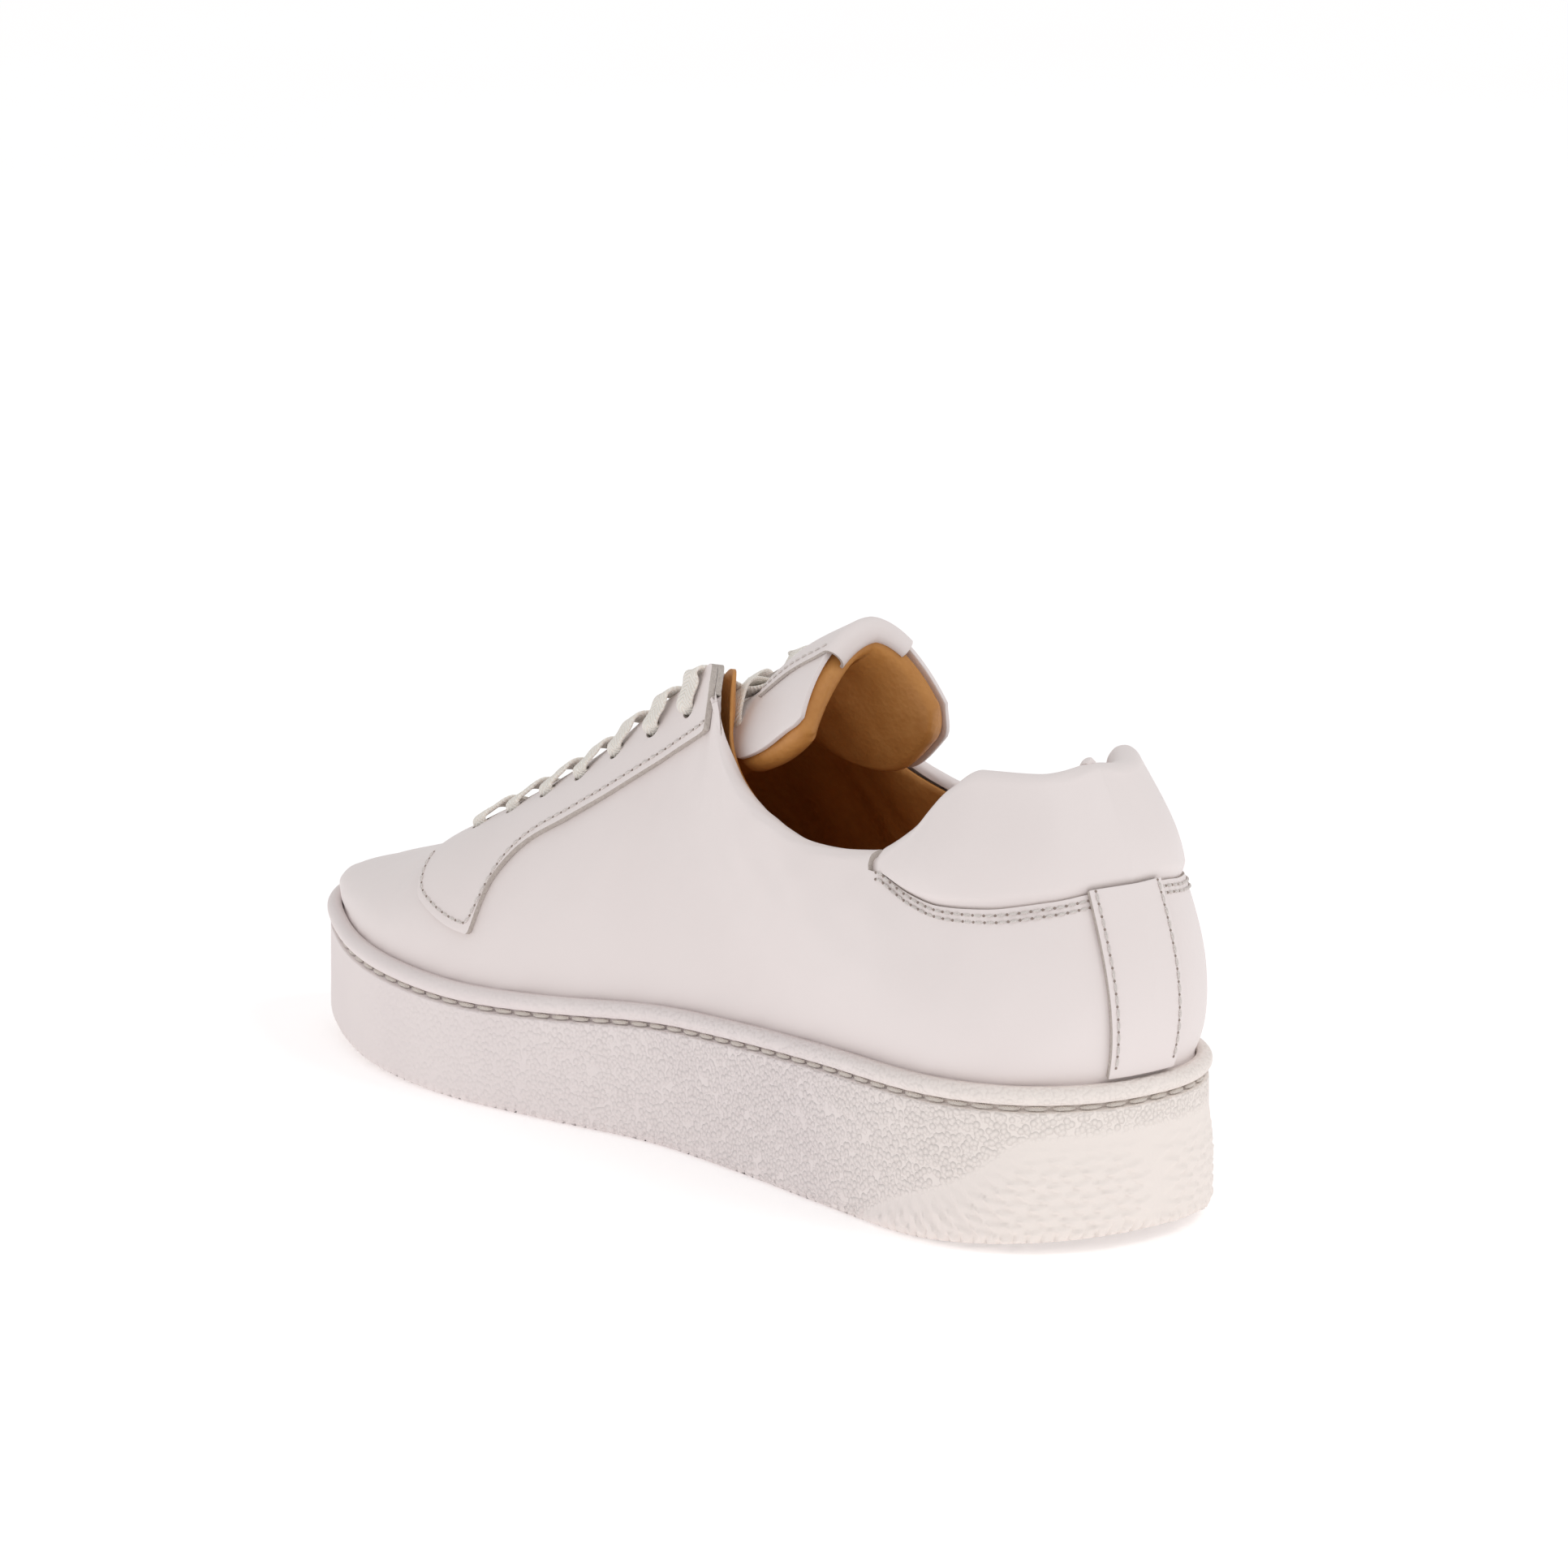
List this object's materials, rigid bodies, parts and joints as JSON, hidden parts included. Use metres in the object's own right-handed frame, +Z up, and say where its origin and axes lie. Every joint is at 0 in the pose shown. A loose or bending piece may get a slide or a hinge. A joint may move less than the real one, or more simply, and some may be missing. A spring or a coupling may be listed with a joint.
{
  "type": "court shoe",
  "caption": "Right low court shoe in white leather on a stitched white cupsole, with seven pairs of plain eyelets, a flat woven lace, a padded collar, a backstay strip and a tan leather lining.",
  "frame": {"origin": "on the flat of the outsole, half way along it and on the heel's centre line", "axes": "+X from the heel to the toe, +Y to the big-toe side, +Z up"},
  "size_m": [0.3015, 0.1023, 0.1326],
  "materials": {
    "white_leather": "satin",
    "tan_leather": "satin",
    "sole_rubber": "matte",
    "sole_thread": "matte",
    "lace_cotton": "matte",
    "foam": "matte",
    "fibreboard": "matte",
    "stiffener": "matte",
    "lining_cloth": "matte"
  },
  "bodies": {
    "shoe": {"cupsole": "sole_rubber", "sole_stitching": "sole_thread", "midsole_cushion": "foam", "insole_board": "fibreboard", "footbed_foam": "foam", "footbed_cover": "tan_leather", "upper_leather": "white_leather", "collar_panel": "white_leather", "collar_foam": "foam", "heel_counter": "stiffener", "toe_puff": "stiffener", "lining_medial": "tan_leather", "lining_lateral": "tan_leather", "lining_heel": "tan_leather", "lining_vamp": "lining_cloth", "eyestay_medial": "white_leather", "eyestay_lateral": "white_leather", "backstay": "white_leather", "lace": "lace_cotton"},
    "tongue": {"tongue_shell": "white_leather", "tongue_foam": "foam", "tongue_lining": "tan_leather", "tongue_patch": "white_leather"}
  },
  "joints": [
    {"name": "tongue_hinge", "type": "hinge", "parent": "shoe", "child": "tongue", "pos_m": [0.097, 0, 0.0502], "axis": [0, 1, 0], "range_deg": [-5, 0]}
  ]
}
